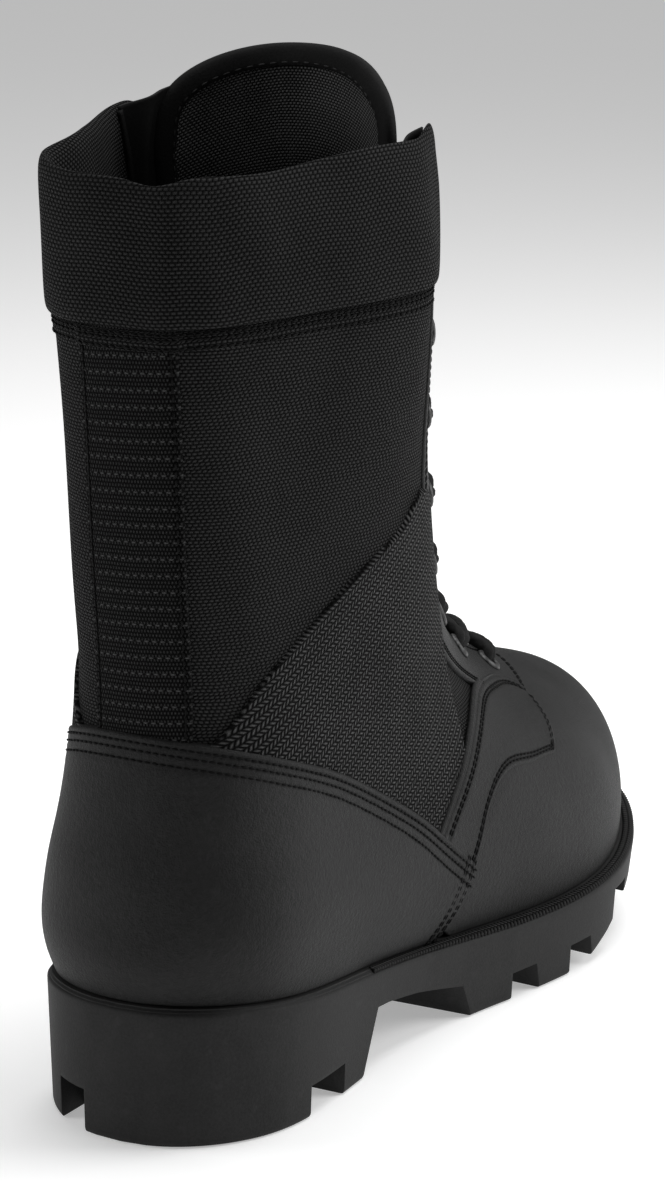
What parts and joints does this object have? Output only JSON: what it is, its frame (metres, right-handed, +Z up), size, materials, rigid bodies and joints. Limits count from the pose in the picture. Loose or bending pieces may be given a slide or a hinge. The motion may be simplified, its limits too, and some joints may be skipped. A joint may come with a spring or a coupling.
{
  "type": "jungle boot",
  "caption": "Right-foot black jungle boot with a leather foot, a fabric shaft, a padded collar, front lacing and a deeply lugged rubber sole.",
  "frame": {"origin": "middle of the bounding box, on the floor that the boot stands on", "axes": "+X from heel to toe, +Y towards the inner (medial) side, +Z up"},
  "size_m": [0.3056, 0.1064, 0.3087],
  "materials": {
    "leather": "smooth black leather with a soft sheen",
    "shaft_cloth": "matt basket-weave nylon",
    "webbing": "matt ribbed webbing",
    "lining": "matt open mesh lining",
    "gusset_cloth": "thin smooth nylon",
    "rubber": "satin moulded black rubber",
    "lace": "braided black cord",
    "eyelet_metal": "black enamelled metal"
  },
  "bodies": {
    "root": {"outsole": "rubber", "insole": "lining", "upper": "shaft_cloth", "tongue": "lining", "cuff": "shaft_cloth", "vamp": "leather", "counter": "leather", "backstay": "webbing", "tab_lateral": "leather", "eyestay_lateral": "leather", "strap_lateral": "webbing", "gusset_lateral": "gusset_cloth", "tab_medial": "leather", "eyestay_medial": "leather", "strap_medial": "webbing", "gusset_medial": "gusset_cloth", "eyelet_lateral_1": "eyelet_metal", "eyelet_lateral_2": "eyelet_metal", "eyelet_lateral_3": "eyelet_metal", "eyelet_lateral_4": "eyelet_metal", "eyelet_lateral_5": "eyelet_metal", "eyelet_lateral_6": "eyelet_metal", "eyelet_lateral_7": "eyelet_metal", "eyelet_medial_1": "eyelet_metal", "eyelet_medial_2": "eyelet_metal", "eyelet_medial_3": "eyelet_metal", "eyelet_medial_4": "eyelet_metal", "eyelet_medial_5": "eyelet_metal", "eyelet_medial_6": "eyelet_metal", "eyelet_medial_7": "eyelet_metal", "lace_bar": "lace", "lace_cross_1": "lace", "lace_cross_2": "lace", "lace_cross_3": "lace", "lace_cross_4": "lace", "lace_cross_5": "lace", "lace_cross_6": "lace", "vent_1": "eyelet_metal", "vent_2": "eyelet_metal"}
  },
  "joints": []
}
